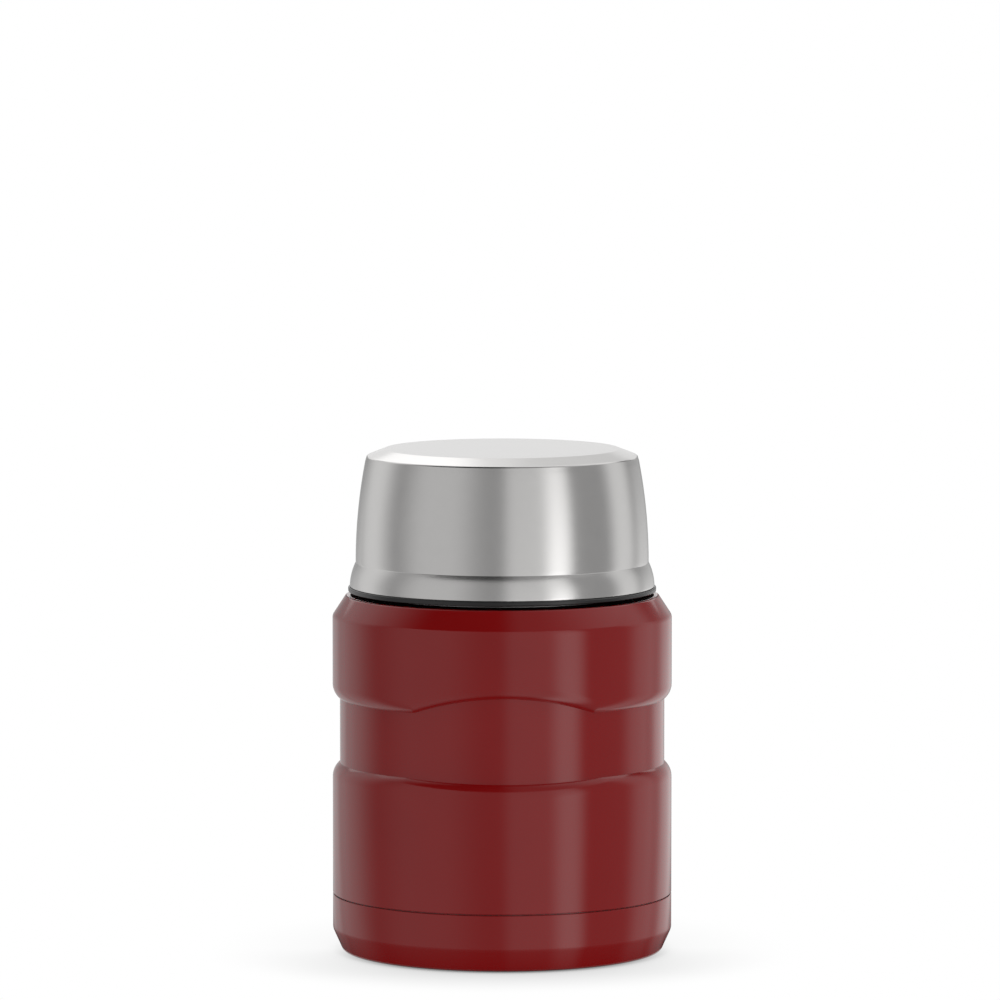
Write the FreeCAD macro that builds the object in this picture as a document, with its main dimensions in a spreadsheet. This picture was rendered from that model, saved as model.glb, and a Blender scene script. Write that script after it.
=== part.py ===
import FreeCAD, Part
import math
import os
import Sketcher

# Insulated food jar: a vacuum vessel with a waisted, painted body, a screw stopper that
# carries a folding spoon, and a steel cup lid that screws over the stopper.
# Millimetres, +Z up, origin on the jar's axis in the plane that it rests on, and the
# arched panel faces -Y.

doc = FreeCAD.newDocument("food_jar")
sheet = doc.addObject("Spreadsheet::Sheet", "sizes")

DRIVING = [
    # Painted body
    ("body_diameter", 95.0),
    ("shoulder_height", 100.1),
    ("shoulder_drop", 5.8),
    ("shoulder_width", 3.8),
    ("waist_depth", 2.04),
    ("waist_bottom", 52.95),
    ("waist_top", 71.05),
    ("step_round", 5.0),
    ("arch_rise", 4.66),
    ("arch_radius", 67.7),
    ("steel_wall", 0.5),
    # Base cup
    ("base_height", 16.1),
    ("base_bevel_height", 6.2),
    ("base_bevel_width", 2.8),
    ("base_ring_width", 5.5),
    ("base_recess", 1.5),
    ("seam_gap", 0.3),
    ("cup_fit", 0.1),
    # Vacuum vessel
    ("liner_wall", 0.4),
    ("vacuum_gap", 2.56),
    ("liner_floor", 12.2),
    ("liner_corner", 8.0),
    ("liner_shoulder", 6.5),
    ("floor_clearance", 2.6),
    ("bottom_wall", 0.6),
    ("bottom_crown", 2.0),
    ("pan_rim", 9.3),
    ("pan_slope", 8.3),
    ("port_diameter", 2.4),
    ("port_fit", 0.05),
    ("port_flange", 1.5),
    ("getter_diameter", 8.0),
    ("getter_height", 1.2),
    ("shield_wall", 0.15),
    ("shield_gap", 0.05),
    # Neck and screw threads
    ("deck_drop", 0.2),
    ("neck_height", 11.6),
    ("neck_wall", 0.5),
    ("neck_gap", 0.6),
    ("rim_wall", 0.5),
    ("thread_depth", 0.9),
    ("thread_clearance", 0.3),
    ("thread_pitch", 4.0),
    ("thread_starts", 3),
    ("thread_sweep", 100.0),
    ("thread_root", 1.7),
    ("thread_crest", 0.9),
    # Stopper
    ("skirt_wall", 1.5),
    ("skirt_gap", 1.0),
    ("cap_plate", 1.8),
    ("tray_height", 5.6),
    ("tray_inset", 1.4),
    ("tray_wall", 1.2),
    ("plug_clearance", 0.5),
    ("plug_wall", 1.2),
    ("plug_depth", 13.5),
    ("foam_clearance", 0.1),
    ("seal_height", 1.2),
    ("seal_width", 2.0),
    ("seat_gap", 0.05),
    # Cup lid
    ("lip_inset", 0.6),
    ("lip_gap", 0.9),
    ("lip_height", 1.3),
    ("lip_round", 0.3),
    ("lid_step", 0.45),
    ("lid_height", 38.7),
    ("lid_wall", 0.5),
    ("lid_fit", 0.2),
    ("band_height", 6.75),
    ("band_flare", 1.65),
    ("band_bulge", 16.0),
    ("groove_height", 0.5),
    ("groove_depth", 0.15),
    ("barrel_taper", 2.95),
    ("barrel_bulge", 150.0),
    ("lid_bevel_height", 2.3),
    ("lid_bevel_width", 5.3),
    ("lid_edge_round", 0.8),
    ("knee_clearance", 1.5),
    ("bowl_corner", 4.2),
    ("lid_liner_wall", 1.2),
    ("lid_foam_height", 2.9),
    # Folding spoon
    ("spoon_clearance", 1.2),
    ("spoon_rest", 0.2),
    ("spoon_wall", 0.9),
    ("spoon_bowl_length", 50.0),
    ("spoon_bowl_width", 34.0),
    ("spoon_bowl_depth", 4.4),
    ("spoon_stem_width", 9.0),
    ("handle_width", 12.0),
    ("handle_wall", 1.2),
    ("knuckle_diameter", 4.0),
    ("knuckle_width", 4.6),
    ("knuckle_gap", 0.15),
    ("rivet_diameter", 1.8),
    ("rivet_fit", 0.05),
]

for row, (alias, number) in enumerate(DRIVING, start=1):
    sheet.set("A%d" % row, alias)
    sheet.set("B%d" % row, str(number))
    sheet.setAlias("B%d" % row, alias)
doc.recompute()


class Size:
    """A size written as a formula of the sheet's cells."""

    def __init__(self, formula):
        self.formula = str(formula)

    def __str__(self):
        return self.formula

    def __add__(self, other):
        return Size("(%s + %s)" % (self, other))

    def __sub__(self, other):
        return Size("(%s - %s)" % (self, other))

    def __mul__(self, other):
        return Size("(%s * %s)" % (self, other))

    def __truediv__(self, other):
        return Size("(%s / %s)" % (self, other))

    def number(self):
        found = sheet.evalExpression(self.formula)
        return float(getattr(found, "Value", found))


def cell(alias):
    return Size("sizes.%s" % alias)


def root(size):
    return Size("sqrt(%s)" % size)


def leg(radius, offset):
    """Other leg of the right triangle that an arc's radius and an offset make."""
    return root(radius * radius - offset * offset)


def mitre(height, width):
    """How far a wall's inside corners shift, for each unit of wall, at a slope's two ends:
    up the upright end, and along the level end."""
    slant = root(height * height + width * width)
    return (slant - height) / width, (slant - width) / height


def plane_of(body, role):
    for feature in body.Origin.OriginFeatures:
        if feature.Role == role:
            return feature
    raise ValueError(role)


def hold(sketch, position, size, direction, ground):
    """Fix one coordinate of a sketch point to a size."""
    geometry, end = position
    amount = size.number()
    if abs(amount) < 1e-9:
        sketch.addConstraint(Sketcher.Constraint("PointOnObject", geometry, end, ground))
        return
    index = sketch.addConstraint(Sketcher.Constraint(direction, -1, 1, geometry, end, amount))
    sketch.setExpression("Constraints[%d]" % index, str(size))


def draw(sketch, corners):
    """Closed outline through corners (across, up), each optionally followed by the radius
    and the side, 1 left or -1 right, of the arc that leaves it."""
    points = []
    for corner in corners:
        points.append(FreeCAD.Vector(corner[0].number(), corner[1].number(), 0))
    ends = []
    for index, corner in enumerate(corners):
        first = points[index]
        last = points[(index + 1) % len(points)]
        if len(corner) == 2:
            geometry = sketch.addGeometry(Part.LineSegment(first, last))
        else:
            radius = corner[2].number()
            chord = last - first
            middle = (first + last) * 0.5
            sagitta = radius - math.sqrt(radius ** 2 - (chord.Length / 2) ** 2)
            across = FreeCAD.Vector(-chord.y, chord.x, 0).normalize()
            crown = middle + across * (sagitta * corner[3])
            geometry = sketch.addGeometry(Part.Arc(first, crown, last))
        start_first = (sketch.getPoint(geometry, 1) - first).Length < 1e-6
        ends.append((geometry, 1, 2) if start_first else (geometry, 2, 1))
    for index, corner in enumerate(corners):
        geometry, start, finish = ends[index]
        follower, follower_start, _ = ends[(index + 1) % len(corners)]
        link = Sketcher.Constraint("Coincident", geometry, finish, follower, follower_start)
        sketch.addConstraint(link)
        hold(sketch, (geometry, start), corner[0], "DistanceX", -2)
        hold(sketch, (geometry, start), corner[1], "DistanceY", -1)
    for index, corner in enumerate(corners):
        if len(corner) > 2:
            radius = Sketcher.Constraint("Radius", ends[index][0], corner[2].number())
            constraint = sketch.addConstraint(radius)
            sketch.setExpression("Constraints[%d]" % constraint, str(corner[2]))


def outline(body, name, corners):
    sketch = body.newObject("Sketcher::SketchObject", name)
    sketch.AttachmentSupport = [(plane_of(body, "XZ_Plane"), "")]
    sketch.MapMode = "FlatFace"
    draw(sketch, corners)
    return sketch


def turned(label, corners):
    """Body of revolution about the jar's axis."""
    body = doc.addObject("PartDesign::Body", label)
    sketch = outline(body, label + "_outline", corners)
    doc.recompute()
    turn = body.newObject("PartDesign::Revolution", label + "_turn")
    turn.Profile = sketch
    turn.ReferenceAxis = (sketch, ["V_Axis"])
    turn.Angle = 360
    doc.recompute()
    return body


def add_thread(body, name, root_radius, crest_radius, middle):
    """Screw ribs, one for each start, that climb from the root to the crest radius."""
    half_root = cell("thread_root") / 2
    half_crest = cell("thread_crest") / 2
    sketch = outline(body, name + "_section", [
        (root_radius, middle - half_root),
        (crest_radius, middle - half_crest),
        (crest_radius, middle + half_crest),
        (root_radius, middle + half_root),
    ])
    doc.recompute()
    rib = body.newObject("PartDesign::AdditiveHelix", name + "_rib")
    rib.Profile = sketch
    rib.ReferenceAxis = (plane_of(body, "Z_Axis"), [""])
    rib.Mode = "pitch-turns-angle"
    rib.setExpression("Pitch", str(thread_lead))
    rib.setExpression("Turns", str(cell("thread_sweep") / 360))
    doc.recompute()
    starts = body.newObject("PartDesign::PolarPattern", name + "_starts")
    starts.Originals = [rib]
    starts.Axis = (plane_of(body, "Z_Axis"), [""])
    starts.Angle = 360
    starts.setExpression("Occurrences", str(cell("thread_starts")))
    body.Tip = starts
    doc.recompute()


def cut(label, base, tool):
    result = doc.addObject("Part::Cut", label)
    result.Base = base
    result.Tool = tool
    return result


def fuse(label, first, second):
    result = doc.addObject("Part::Fuse", label)
    result.Base = first
    result.Tool = second
    return result


def block(name, corner, spans):
    """Box from its low corner and its three lengths."""
    box = doc.addObject("Part::Box", name)
    for span, size in zip(("Length", "Width", "Height"), spans):
        box.setExpression(span, str(size))
    for axis, size in zip("xyz", corner):
        box.setExpression("Placement.Base.%s" % axis, str(size))
    return box


def ellipsoid(name, middle, half_length, half_width, half_height):
    egg = doc.addObject("Part::Ellipsoid", name)
    egg.setExpression("Radius2", str(half_length))
    egg.setExpression("Radius3", str(half_width))
    egg.setExpression("Radius1", str(half_height))
    egg.Angle1 = -90
    egg.Angle2 = 0
    for axis, size in zip("xyz", middle):
        egg.setExpression("Placement.Base.%s" % axis, str(size))
    return egg


def crosswise(name, middle, radius, width):
    """Cylinder centred on a point, with its axis along Y."""
    bar = doc.addObject("Part::Cylinder", name)
    bar.setExpression("Radius", str(radius))
    bar.setExpression("Height", str(width))
    bar.Placement.Rotation = FreeCAD.Rotation(FreeCAD.Vector(1, 0, 0), 90)
    bar.setExpression("Placement.Base.x", str(middle[0]))
    bar.setExpression("Placement.Base.y", str(middle[1] + width / 2))
    bar.setExpression("Placement.Base.z", str(middle[2]))
    return bar


ZERO = Size("0")
thread_lead = cell("thread_pitch") * cell("thread_starts")
engage = cell("thread_depth") + cell("thread_clearance")

# Radii from the painted body inwards, so that each piece fits round the next
body_radius = cell("body_diameter") / 2
waist_radius = body_radius - cell("waist_depth")
shoulder_radius = body_radius - cell("shoulder_width")
lip_radius = shoulder_radius - cell("lip_inset")
lid_edge_radius = lip_radius - cell("lid_step")
barrel_radius = lid_edge_radius - cell("band_flare")
lid_liner_outer = barrel_radius - cell("lid_wall") - cell("lid_fit")
lid_liner_inner = lid_liner_outer - cell("lid_liner_wall")
skirt_outer = lid_liner_inner - engage
skirt_inner = skirt_outer - cell("skirt_wall")
neck_outer = skirt_inner - engage
neck_inner = neck_outer - cell("neck_wall")
mouth_outer = neck_inner - cell("neck_gap")
mouth_inner = mouth_outer - cell("liner_wall")
plug_outer = mouth_inner - cell("plug_clearance")
plug_inner = plug_outer - cell("plug_wall")
liner_outer = waist_radius - cell("steel_wall") - cell("vacuum_gap")
liner_inner = liner_outer - cell("liner_wall")
foot_outer = body_radius - cell("steel_wall") - cell("cup_fit")
foot_inner = foot_outer - cell("steel_wall")

# Heights from the base plane upwards
seam_low = cell("base_height") - cell("seam_gap") / 2
seam_high = cell("base_height") + cell("seam_gap") / 2
foot_bottom = cell("base_bevel_height") + cell("steel_wall")
shoulder_bottom = cell("shoulder_height") - cell("shoulder_drop")
deck = cell("shoulder_height") - cell("deck_drop")
rim = deck + cell("neck_height")
neck_top = rim - cell("rim_wall")
lip_bottom = cell("shoulder_height") + cell("lip_gap")
lip_top = lip_bottom + cell("lip_height")
lid_top = lip_top + cell("lid_height")
skirt_bottom = deck + cell("skirt_gap")
plate_bottom = rim + cell("seat_gap") + cell("seal_height")
plate_top = plate_bottom + cell("cap_plate")
tray_top = plate_top + cell("tray_height")
plug_bottom = plate_bottom - cell("plug_depth")

# Painted outer shell: outside form and inside form, both with the arched panel sunk in
UNDERCUT = Size("1.2")
OVERRUN = 1.0
arc_offset = cell("step_round") - cell("waist_depth")
step_rise = leg(cell("step_round"), arc_offset)


def body_form(label, inset, bottom, top_corners):
    """Solid whose skin is the body's outside, moved inwards by the inset, with its waist
    cut deeper than its floor, which the core fills."""
    arc = cell("step_round") - inset
    deep = UNDERCUT + inset
    rise = leg(arc, arc_offset - deep)
    lower_centre = cell("waist_bottom") - step_rise
    upper_centre = cell("waist_top") + step_rise
    upright_shift, level_shift = mitre(cell("shoulder_drop"), cell("shoulder_width"))
    edge_drop = inset * upright_shift
    edge_inset = inset * level_shift
    return turned(label, [
        (ZERO, bottom),
        (foot_outer - inset, bottom),
        (foot_outer - inset, seam_high + inset),
        (body_radius - inset, seam_high + inset),
        (body_radius - inset, lower_centre, arc, 1),
        (waist_radius - deep, lower_centre + rise),
        (waist_radius - deep, upper_centre - rise, arc, 1),
        (body_radius - inset, upper_centre),
        (body_radius - inset, shoulder_bottom - edge_drop),
        (shoulder_radius - edge_inset, cell("shoulder_height") - inset),
        (shoulder_radius - edge_inset - cell("deck_drop"), deck - inset),
    ] + top_corners)


PANEL_SECTIONS = 9
PANEL_MARGIN = 0.6
PANEL_CREASE = 0.15
PANEL_OVERSIZE = 2.0


def panel_sunk(label, form, inset):
    """Form with the waist's floor carried up behind the arch of the front panel."""
    floor_radius = waist_radius - inset
    deep_radius = floor_radius - UNDERCUT / 2
    arc = cell("step_round") - inset
    hub = body_radius + PANEL_CREASE - cell("step_round")
    rise = leg(arc, floor_radius - hub)
    deep_rise = leg(arc, deep_radius - hub)
    drop = cell("arch_rise") + PANEL_MARGIN
    reach = leg(cell("arch_radius"), cell("arch_radius") - drop)
    widest = math.asin((reach / waist_radius).number())
    sections = []
    for index in range(PANEL_SECTIONS):
        angle = widest * (2.0 * index / (PANEL_SECTIONS - 1) - 1.0)
        across = waist_radius * math.sin(angle)
        sag = cell("arch_radius") - leg(cell("arch_radius"), across)
        corner = cell("waist_top") + step_rise - rise + cell("arch_rise") - sag
        low = (cell("waist_bottom") + cell("waist_top")) / 2
        sketch = doc.addObject("Sketcher::SketchObject", "%s_section_%d" % (label, index))
        draw(sketch, [
            (deep_radius, low),
            (body_radius + PANEL_OVERSIZE, low),
            (body_radius + PANEL_OVERSIZE, corner + rise),
            (hub + arc, corner + rise, arc, -1),
            (deep_radius, corner + rise - deep_rise),
        ])
        upright = FreeCAD.Rotation(FreeCAD.Vector(1, 0, 0), 90)
        swing = FreeCAD.Rotation(FreeCAD.Vector(0, 0, 1), math.degrees(angle) - 90)
        sketch.Placement = FreeCAD.Placement(FreeCAD.Vector(), swing * upright)
        sections.append(sketch)
    sweep = doc.addObject("Part::Loft", label + "_sweep")
    sweep.Sections = sections
    sweep.Solid = True
    core = doc.addObject("Part::Cylinder", label + "_core")
    core.setExpression("Radius", str(floor_radius))
    core.setExpression("Height", str(shoulder_bottom - seam_high - OVERRUN * 2))
    core.setExpression("Placement.Base.z", str(seam_high + OVERRUN))
    return fuse(label, cut(label + "_hollow", form, sweep), core)


skin = body_form("shell_skin", ZERO, foot_bottom, [(ZERO, deck)])
void = body_form("shell_void", cell("steel_wall"), foot_bottom - OVERRUN, [
    (neck_outer, deck - cell("steel_wall")),
    (neck_outer, deck + OVERRUN),
    (ZERO, deck + OVERRUN),
])
outer_shell = cut(
    "outer_shell",
    panel_sunk("shell_skin_panel", skin, ZERO),
    panel_sunk("shell_void_panel", void, cell("steel_wall")),
)
doc.recompute()

# Base cup, pressed over the foot of the outer shell
bevel_radius = body_radius - cell("base_bevel_width")
upright_shift, level_shift = mitre(cell("base_bevel_height"), cell("base_bevel_width"))
bevel_drop = cell("steel_wall") * upright_shift
bevel_inset = cell("steel_wall") * level_shift
ring_inner = bevel_radius - cell("base_ring_width")
base_cup = turned("base_cup", [
    (ZERO, cell("base_recess")),
    (ring_inner - cell("base_recess"), cell("base_recess")),
    (ring_inner, ZERO),
    (bevel_radius, ZERO),
    (body_radius, cell("base_bevel_height")),
    (body_radius, seam_low),
    (body_radius - cell("steel_wall"), seam_low),
    (body_radius - cell("steel_wall"), cell("base_bevel_height") + bevel_drop),
    (bevel_radius - bevel_inset, cell("steel_wall")),
    (ring_inner + cell("steel_wall") / 2, cell("steel_wall")),
    (ring_inner - cell("base_recess") + cell("steel_wall") / 2,
     cell("base_recess") + cell("steel_wall")),
    (ZERO, cell("base_recess") + cell("steel_wall")),
])

# Vessel bottom, welded inside the foot, with the port through which the air was drawn
crown_top = cell("liner_floor") - cell("floor_clearance")
pan_top = crown_top - cell("bottom_crown")
port_radius = cell("port_diameter") / 2
pan_radius = foot_inner - cell("pan_rim")
crown_radius = pan_radius - cell("pan_slope")
vessel_bottom = turned("vessel_bottom", [
    (port_radius, crown_top - cell("bottom_wall")),
    (crown_radius, crown_top - cell("bottom_wall")),
    (pan_radius, pan_top - cell("bottom_wall")),
    (foot_inner, pan_top - cell("bottom_wall")),
    (foot_inner, pan_top),
    (pan_radius, pan_top),
    (crown_radius, crown_top),
    (port_radius, crown_top),
])
plug_shank = port_radius - cell("port_fit")
plug_flange = port_radius + cell("port_flange")
vacuum_plug = turned("vacuum_plug", [
    (ZERO, crown_top - cell("bottom_wall") * 2),
    (plug_flange, crown_top - cell("bottom_wall") * 2),
    (plug_flange, crown_top - cell("bottom_wall")),
    (plug_shank, crown_top - cell("bottom_wall")),
    (plug_shank, crown_top),
    (ZERO, crown_top),
])
getter = doc.addObject("Part::Cylinder", "getter_pellet")
getter.setExpression("Radius", str(cell("getter_diameter") / 2))
getter.setExpression("Height", str(cell("getter_height")))
getter.setExpression("Placement.Base.x", str(crown_radius / 2))
getter.setExpression("Placement.Base.z", str(crown_top))

# Inner liner: one drawn vessel from its floor to the folded rim of the mouth
liner_bend = cell("liner_corner")
bend_inner = liner_bend - cell("liner_wall")
liner_neck_low = deck - cell("steel_wall") - OVERRUN
liner_side_top = liner_neck_low - cell("liner_shoulder")
inner_liner = turned("inner_liner", [
    (ZERO, cell("liner_floor")),
    (liner_outer - liner_bend, cell("liner_floor"), liner_bend, -1),
    (liner_outer, cell("liner_floor") + liner_bend),
    (liner_outer, liner_side_top),
    (mouth_outer, liner_neck_low),
    (mouth_outer, neck_top),
    (neck_outer, neck_top),
    (neck_outer, rim),
    (mouth_inner, rim),
    (mouth_inner, liner_neck_low - cell("liner_wall") / 2),
    (liner_inner, liner_side_top - cell("liner_wall") / 2),
    (liner_inner, cell("liner_floor") + liner_bend, bend_inner, 1),
    (liner_inner - bend_inner, cell("liner_floor") + cell("liner_wall")),
    (ZERO, cell("liner_floor") + cell("liner_wall")),
])
shield_inner = liner_outer + cell("shield_gap")
heat_shield = turned("heat_shield", [
    (shield_inner, cell("liner_floor") + liner_bend),
    (shield_inner + cell("shield_wall"), cell("liner_floor") + liner_bend),
    (shield_inner + cell("shield_wall"), liner_side_top),
    (shield_inner, liner_side_top),
])

# Neck ring with the screw ribs that hold the stopper
neck_thread_low = skirt_bottom + cell("thread_root") + cell("thread_pitch") / 2
thread_rise = thread_lead * cell("thread_sweep") / 360
thread_top = neck_thread_low + thread_rise + cell("thread_root") / 2
threaded_neck = turned("threaded_neck", [
    (neck_inner, deck - cell("steel_wall")),
    (neck_outer, deck - cell("steel_wall")),
    (neck_outer, neck_top),
    (neck_inner, neck_top),
])
rib_bury = cell("neck_wall") / 2
add_thread(threaded_neck, "neck", neck_outer - rib_bury,
           neck_outer + cell("thread_depth"), neck_thread_low)

# Stopper: skirt, top plate and the tray that holds the spoon, in one moulding
tray_outer = skirt_outer - cell("tray_inset")
tray_inner = tray_outer - cell("tray_wall")
stopper_cap = turned("stopper_cap", [
    (ZERO, plate_bottom),
    (skirt_inner, plate_bottom),
    (skirt_inner, skirt_bottom),
    (skirt_outer, skirt_bottom),
    (skirt_outer, plate_bottom, cell("cap_plate"), -1),
    (tray_outer, plate_top),
    (tray_outer, tray_top),
    (tray_inner, tray_top),
    (tray_inner, plate_top),
    (ZERO, plate_top),
])
add_thread(stopper_cap, "stopper_inside", skirt_inner + rib_bury,
           skirt_inner - cell("thread_depth"), neck_thread_low - cell("thread_pitch") / 2)
add_thread(stopper_cap, "stopper_outside", skirt_outer - rib_bury,
           skirt_outer + cell("thread_depth"), neck_thread_low)

stopper_plug = turned("stopper_plug", [
    (ZERO, plug_bottom),
    (plug_outer - cell("plug_wall"), plug_bottom),
    (plug_outer, plug_bottom + cell("plug_wall")),
    (plug_outer, plate_bottom),
    (plug_inner, plate_bottom),
    (plug_inner, plug_bottom + cell("plug_wall")),
    (ZERO, plug_bottom + cell("plug_wall")),
])
foam_radius = plug_inner - cell("foam_clearance")
stopper_foam = turned("stopper_foam", [
    (ZERO, plug_bottom + cell("plug_wall") + cell("foam_clearance")),
    (foam_radius, plug_bottom + cell("plug_wall") + cell("foam_clearance")),
    (foam_radius, plate_bottom - cell("foam_clearance")),
    (ZERO, plate_bottom - cell("foam_clearance")),
])
seal_inner = plug_outer + cell("foam_clearance")
stopper_seal = turned("stopper_seal", [
    (seal_inner, rim + cell("seat_gap")),
    (seal_inner + cell("seal_width"), rim + cell("seat_gap")),
    (seal_inner + cell("seal_width"), plate_bottom),
    (seal_inner, plate_bottom),
])

# Cup lid: steel shell over a plastic bowl whose lip shows under the shell
band_top = lip_top + cell("band_height")
barrel_low = band_top + cell("groove_height")
bevel_low = lid_top - cell("lid_bevel_height")
groove_radius = barrel_radius - cell("groove_depth")
crown_edge = barrel_radius - cell("barrel_taper")
disc_radius = crown_edge - cell("lid_bevel_width")
lid_wall = cell("lid_wall")
bevel_shift, disc_shift = mitre(cell("lid_bevel_height"), cell("lid_bevel_width"))
lid_shell = turned("lid_shell", [
    (lid_edge_radius, lip_top, cell("band_bulge"), -1),
    (barrel_radius + cell("groove_depth"), band_top),
    (groove_radius, band_top + cell("groove_depth")),
    (groove_radius, barrel_low - cell("groove_depth")),
    (barrel_radius, barrel_low, cell("barrel_bulge"), -1),
    (crown_edge, bevel_low, cell("lid_edge_round"), -1),
    (crown_edge - cell("lid_edge_round"), bevel_low + cell("lid_edge_round") / 2),
    (disc_radius, lid_top),
    (ZERO, lid_top),
    (ZERO, lid_top - lid_wall),
    (disc_radius - lid_wall * disc_shift, lid_top - lid_wall),
    (crown_edge - lid_wall, bevel_low - lid_wall * bevel_shift,
     cell("barrel_bulge") - lid_wall, 1),
    (barrel_radius - lid_wall, band_top, cell("band_bulge") - lid_wall, 1),
    (lid_edge_radius - lid_wall, lip_top),
])
foam_top = lid_top - lid_wall - cell("foam_clearance")
foam_low = foam_top - cell("lid_foam_height")
bowl_top = foam_low - cell("foam_clearance")
bowl_knee = thread_top + cell("knee_clearance")
bowl_corner = cell("bowl_corner")
bowl_wall = cell("lid_liner_wall")
bowl_radius = disc_radius + bowl_corner
lid_liner = turned("lid_liner", [
    (lid_liner_inner, lip_bottom),
    (lip_radius - cell("lip_round"), lip_bottom, cell("lip_round"), -1),
    (lip_radius, lip_bottom + cell("lip_round")),
    (lip_radius, lip_top - cell("lip_round"), cell("lip_round"), -1),
    (lip_radius - cell("lip_round"), lip_top),
    (lid_liner_outer, lip_top),
    (lid_liner_outer, bowl_knee),
    (bowl_radius, bowl_top - bowl_corner, bowl_corner, -1),
    (disc_radius, bowl_top),
    (ZERO, bowl_top),
    (ZERO, bowl_top - bowl_wall),
    (disc_radius, bowl_top - bowl_wall, bowl_corner - bowl_wall, 1),
    (bowl_radius - bowl_wall, bowl_top - bowl_corner),
    (lid_liner_inner, bowl_knee),
])
add_thread(lid_liner, "lid", lid_liner_inner + rib_bury,
           lid_liner_inner - cell("thread_depth"), neck_thread_low - cell("thread_pitch") / 2)
lid_foam = turned("lid_foam", [
    (ZERO, foam_low),
    (disc_radius, foam_low),
    (disc_radius - cell("lid_foam_height") / 2, foam_top),
    (ZERO, foam_top),
])

# Folding spoon, lying in the tray with its handle folded over its bowl
half_length = cell("spoon_bowl_length") / 2
half_width = cell("spoon_bowl_width") / 2
spoon_wall = cell("spoon_wall")
spoon_reach = tray_inner - cell("spoon_clearance")
bowl_x = spoon_reach - half_length
bowl_edge = plate_top + cell("spoon_rest") + cell("spoon_bowl_depth")
knuckle_radius = cell("knuckle_diameter") / 2
hinge_x = knuckle_radius - spoon_reach
hinge_z = bowl_edge + cell("spoon_rest")
stem_width = cell("spoon_stem_width")
handle_low = bowl_edge + cell("spoon_rest") * 2
hinge = (hinge_x, ZERO, hinge_z)
pin_hole = cell("rivet_diameter") / 2 + cell("rivet_fit")

bowl_middle = (bowl_x, ZERO, bowl_edge)
bowl_skin = cut(
    "bowl_skin",
    ellipsoid("bowl_outside", bowl_middle, half_length, half_width,
              cell("spoon_bowl_depth")),
    ellipsoid("bowl_inside", bowl_middle, half_length - spoon_wall,
              half_width - spoon_wall, cell("spoon_bowl_depth") - spoon_wall),
)
stem_end = bowl_x - half_length + spoon_wall
stem_low = bowl_edge - spoon_wall
knuckle_width = cell("knuckle_width")
plate_start = hinge_x + knuckle_radius + cell("knuckle_gap") * 2
stem = block("stem", (plate_start, ZERO - stem_width / 2, stem_low),
             (stem_end - plate_start, stem_width, spoon_wall))
tongue = block("stem_tongue", (hinge_x, ZERO - knuckle_width / 2, stem_low),
               (stem_end - hinge_x, knuckle_width, spoon_wall))
spoon_bowl = fuse("bowl_on_stem", bowl_skin, stem)
spoon_bowl = fuse("bowl_on_tongue", spoon_bowl, tongue)
spoon_bowl = fuse("bowl_with_knuckle", spoon_bowl,
                  crosswise("bowl_knuckle", hinge, knuckle_radius, knuckle_width))
spoon_bowl = cut("spoon_bowl", spoon_bowl,
                 crosswise("bowl_pin_hole", hinge, pin_hole, cell("handle_width")))

side_width = (cell("handle_width") - knuckle_width) / 2 - cell("knuckle_gap")
handle_radius = cell("handle_width") / 2
handle_end = spoon_reach - handle_radius
handle = block("handle_plate", (plate_start, ZERO - handle_radius, handle_low),
               (handle_end - plate_start, cell("handle_width"), cell("handle_wall")))
tip = doc.addObject("Part::Cylinder", "handle_tip")
tip.setExpression("Radius", str(handle_radius))
tip.setExpression("Height", str(cell("handle_wall")))
tip.setExpression("Placement.Base.x", str(handle_end))
tip.setExpression("Placement.Base.z", str(handle_low))
handle = fuse("handle_with_tip", handle, tip)
for side in (-1, 1):
    middle = (knuckle_width / 2 + cell("knuckle_gap") + side_width / 2) * side
    eye = crosswise("handle_eye_%d" % side, (hinge_x, middle, hinge_z),
                    knuckle_radius, side_width)
    tab = block("handle_tab_%d" % side, (hinge_x, middle - side_width / 2, handle_low),
                (plate_start - hinge_x, side_width, cell("handle_wall")))
    handle = fuse("handle_with_tab_%d" % side, handle, fuse("handle_lug_%d" % side, eye, tab))
spoon_handle = cut("spoon_handle", handle,
                   crosswise("handle_pin_hole", hinge, pin_hole, cell("body_diameter")))
spoon_rivet = crosswise("spoon_rivet", hinge, cell("rivet_diameter") / 2,
                        cell("handle_width"))
doc.recompute()

pieces = [
    outer_shell, base_cup, vessel_bottom, vacuum_plug, getter, inner_liner, heat_shield,
    threaded_neck, stopper_cap, stopper_plug, stopper_foam, stopper_seal,
    lid_shell, lid_liner, lid_foam, spoon_bowl, spoon_handle, spoon_rivet,
]

for item in doc.Objects:
    if "Invalid" in item.State or "Error" in item.State:
        raise RuntimeError("%s was not built: %s" % (item.Label, item.State))
for piece in pieces:
    if piece.Shape.isNull() or not piece.Shape.isValid() or len(piece.Shape.Solids) != 1:
        raise RuntimeError("%s is not one valid solid" % piece.Label)

os.makedirs("parts", exist_ok=True)
for piece in pieces:
    piece.Shape.exportStep("parts/%s.step" % piece.Label)
    box = piece.Shape.BoundBox
    print("%-16s %10.1f mm3  z %.2f to %.2f  radius %.2f" % (
        piece.Label, piece.Shape.Volume, box.ZMin, box.ZMax, box.XMax))
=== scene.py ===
import math

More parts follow.
